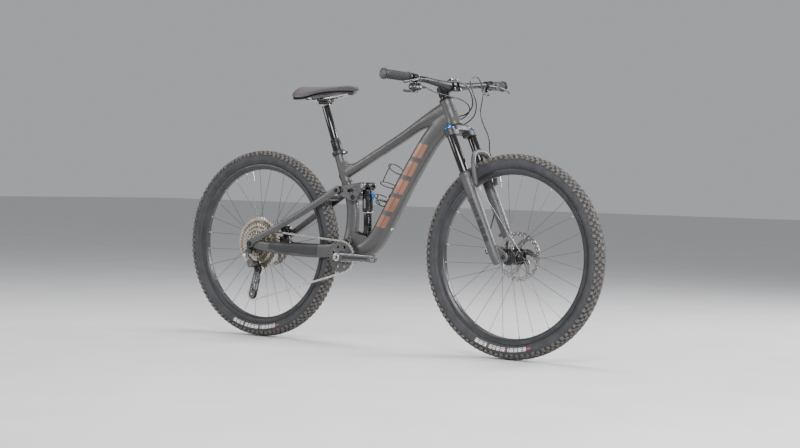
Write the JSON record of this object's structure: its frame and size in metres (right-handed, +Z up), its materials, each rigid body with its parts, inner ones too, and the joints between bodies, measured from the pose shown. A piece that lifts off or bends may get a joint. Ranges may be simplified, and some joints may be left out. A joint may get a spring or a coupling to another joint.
{
  "type": "mountain bike",
  "caption": "Full-suspension trail bike with a telescopic fork, linkage-driven rear shock, disc brakes, wide-range derailleur gears, dropper seat post and bottle cage; no pedals.",
  "frame": {"origin": "on the ground, midway between the two axles, in the wheels' middle plane", "axes": "+X towards the front wheel, +Y towards the rider's left, +Z up; the drivetrain is on the -Y side"},
  "size_m": [1.921, 0.7908, 1.0307],
  "materials": {
    "frame_paint": "satin",
    "tyre_rubber": "matt",
    "rim_black": "satin",
    "black_alloy": "satin",
    "grey_alloy": "satin",
    "steel": "brushed",
    "nickel": "satin",
    "stanchion_black": "polished",
    "lowers_paint": "satin",
    "blue_anodised": "satin",
    "saddle_cover": "matt",
    "black_plastic": "matt",
    "hose_black": "satin",
    "grip_rubber": "matt"
  },
  "bodies": {
    "frame": {"main_frame": "frame_paint", "seat_clamp": "black_alloy", "dropper_lower_tube": "black_alloy", "headset_upper": "black_alloy", "bottom_bracket": "black_alloy", "bottle_cage": "black_plastic"},
    "steering": {"fork_crown": "black_alloy", "stanchion_right": "stanchion_black", "stanchion_left": "stanchion_black", "stem": "black_alloy", "stem_faceplate": "black_alloy", "handlebar": "black_alloy", "grip_left": "grip_rubber", "grip_right": "grip_rubber", "brake_master_left": "black_alloy", "brake_master_right": "black_alloy", "shifter_body": "black_alloy", "dropper_remote": "black_alloy", "front_brake_hose": "hose_black", "rear_brake_hose": "hose_black", "shift_housing": "hose_black", "dropper_housing": "hose_black"},
    "damper_knob": {"damper_knob": "blue_anodised"},
    "fork_lowers": {"fork_lowers": "lowers_paint", "front_axle": "black_alloy", "front_caliper": "black_alloy"},
    "front_wheel": {"front_tyre": "tyre_rubber", "front_rim": "rim_black", "front_hub": "black_alloy", "front_rotor": "steel"},
    "crank": {"crank_right": "grey_alloy", "chainring": "black_alloy", "crank_left": "grey_alloy"},
    "swingarm": {"chainstays": "frame_paint", "rear_axle": "black_alloy", "rear_caliper": "black_alloy", "chain": "nickel"},
    "rear_wheel": {"rear_tyre": "tyre_rubber", "rear_rim": "rim_black", "rear_hub": "black_alloy", "rear_rotor": "steel"},
    "cassette": {"cassette": "nickel"},
    "derailleur_body": {"derailleur_body": "black_alloy"},
    "derailleur_cage": {"derailleur_cage": "grey_alloy"},
    "guide_pulley": {"guide_pulley": "black_plastic"},
    "tension_pulley": {"tension_pulley": "black_plastic"},
    "seatstays": {"seatstays": "frame_paint"},
    "rocker": {"rocker": "frame_paint"},
    "shock_body": {"shock_body": "black_alloy"},
    "shock_lever": {"shock_lever": "blue_anodised"},
    "shock_shaft": {"shock_shaft": "stanchion_black"},
    "saddle": {"dropper_stanchion": "stanchion_black", "saddle_clamp": "black_alloy", "saddle_rails": "steel", "saddle_shell": "black_plastic", "saddle_cover": "saddle_cover"},
    "brake_blade_left": {"brake_blade_left": "grey_alloy"},
    "brake_blade_right": {"brake_blade_right": "grey_alloy"},
    "shift_lever": {"shift_lever": "grey_alloy"},
    "dropper_lever": {"dropper_lever": "grey_alloy"}
  },
  "joints": [
    {"name": "steering", "type": "hinge", "parent": "frame", "child": "steering", "pos_m": [0.32444, 0, 0.83918], "axis": [-0.4226, 0, 0.9063], "range_deg": [-45, 45], "deforming": ["rear_brake_hose", "shift_housing", "dropper_housing"]},
    {"name": "damper_knob_turn", "type": "hinge", "parent": "steering", "child": "damper_knob", "pos_m": [0.34251, -0.066, 0.82554], "axis": [-0.4226, 0, 0.9063], "range_deg": [-60, 60]},
    {"name": "fork_travel", "type": "slide", "parent": "steering", "child": "fork_lowers", "axis": [-0.4226, 0, 0.9063], "range_m": [0, 0.13], "stiffness_N_per_m": 9000, "springref_m": -0.02, "deforming": ["front_brake_hose"]},
    {"name": "front_wheel_spin", "type": "hinge", "parent": "fork_lowers", "child": "front_wheel", "pos_m": [0.59, 0, 0.3705], "axis": [0, 1, 0], "continuous": true},
    {"name": "crank_spin", "type": "hinge", "parent": "frame", "child": "crank", "pos_m": [-0.1543, 0, 0.337], "axis": [0, 1, 0], "continuous": true},
    {"name": "swingarm_travel", "type": "hinge", "parent": "frame", "child": "swingarm", "pos_m": [-0.1385, 0, 0.396], "axis": [0, 1, 0], "range_deg": [0, 15.29], "stiffness_Nm_per_rad": 900, "springref_deg": -4.58, "deforming": ["chain"]},
    {"name": "rear_wheel_spin", "type": "hinge", "parent": "swingarm", "child": "rear_wheel", "pos_m": [-0.59, 0, 0.3705], "axis": [0, 1, 0], "continuous": true},
    {"name": "cassette_spin", "type": "hinge", "parent": "swingarm", "child": "cassette", "pos_m": [-0.59, 0, 0.3705], "axis": [0, 1, 0], "continuous": true},
    {"name": "derailleur_pivot", "type": "hinge", "parent": "swingarm", "child": "derailleur_body", "pos_m": [-0.5965, 0, 0.34], "axis": [0, 1, 0], "range_deg": [0, 12], "stiffness_Nm_per_rad": 8, "springref_deg": -8.59, "deforming": ["chain"]},
    {"name": "derailleur_cage_swing", "type": "hinge", "parent": "derailleur_body", "child": "derailleur_cage", "pos_m": [-0.586, 0, 0.29], "axis": [0, 1, 0], "range_deg": [-35, 20], "stiffness_Nm_per_rad": 3, "deforming": ["chain"]},
    {"name": "guide_pulley_spin", "type": "hinge", "parent": "derailleur_cage", "child": "guide_pulley", "pos_m": [-0.578, 0, 0.268], "axis": [0, 1, 0], "continuous": true},
    {"name": "tension_pulley_spin", "type": "hinge", "parent": "derailleur_cage", "child": "tension_pulley", "pos_m": [-0.604, 0, 0.168], "axis": [0, 1, 0], "continuous": true},
    {"name": "seatstay_pivot", "type": "hinge", "parent": "swingarm", "child": "seatstays", "pos_m": [-0.59, 0, 0.3705], "axis": [0, 1, 0], "range_deg": [-5.5, 0]},
    {"name": "rocker_pivot", "type": "hinge", "parent": "frame", "child": "rocker", "pos_m": [-0.117, 0, 0.566], "axis": [0, 1, 0], "range_deg": [0, 46.3]},
    {"name": "shock_top_pivot", "type": "hinge", "parent": "rocker", "child": "shock_body", "pos_m": [-0.0745, 0, 0.612], "axis": [0, 1, 0], "range_deg": [-38.8, 0]},
    {"name": "shock_travel", "type": "slide", "parent": "shock_body", "child": "shock_shaft", "axis": [-0.0294, 0, 0.9996], "range_m": [0, 0.0432]},
    {"name": "shock_lever_turn", "type": "hinge", "parent": "shock_body", "child": "shock_lever", "pos_m": [-0.05338, 0, 0.58401], "axis": [1, 0, 0], "range_deg": [-30, 30]},
    {"name": "dropper_travel", "type": "slide", "parent": "frame", "child": "saddle", "axis": [-0.3621, 0, 0.9322], "range_m": [-0.135, 0], "stiffness_N_per_m": 120, "springref_m": 0.12},
    {"name": "brake_lever_left", "type": "hinge", "parent": "steering", "child": "brake_blade_left", "pos_m": [0.33514, 0.258, 0.99991], "axis": [0, 0, 1], "range_deg": [0, 15], "stiffness_Nm_per_rad": 0.6, "springref_deg": -14.32},
    {"name": "brake_lever_right", "type": "hinge", "parent": "steering", "child": "brake_blade_right", "pos_m": [0.33514, -0.258, 0.99991], "axis": [0, 0, -1], "range_deg": [0, 15], "stiffness_Nm_per_rad": 0.6, "springref_deg": -14.32},
    {"name": "shift_lever_push", "type": "hinge", "parent": "steering", "child": "shift_lever", "pos_m": [0.30307, -0.231, 0.97326], "axis": [0, 0, 1], "range_deg": [0, 20], "stiffness_Nm_per_rad": 0.4, "springref_deg": -14.32},
    {"name": "dropper_lever_push", "type": "hinge", "parent": "steering", "child": "dropper_lever", "pos_m": [0.30307, 0.231, 0.97626], "axis": [0, 0, -1], "range_deg": [0, 20], "stiffness_Nm_per_rad": 0.4, "springref_deg": -14.32}
  ],
  "couplings": [
    {"joint": "cassette_spin", "follows": "crank_spin", "ratio": 1.0714},
    {"joint": "guide_pulley_spin", "follows": "crank_spin", "ratio": -2.5},
    {"joint": "tension_pulley_spin", "follows": "crank_spin", "ratio": 2.5},
    {"joint": "seatstay_pivot", "follows": "swingarm_travel", "ratio": -0.3578},
    {"joint": "rocker_pivot", "follows": "swingarm_travel", "ratio": 3.0264},
    {"joint": "shock_top_pivot", "follows": "swingarm_travel", "ratio": -2.5345},
    {"joint": "shock_travel", "follows": "swingarm_travel", "m_per_rad": 0.16166}
  ]
}
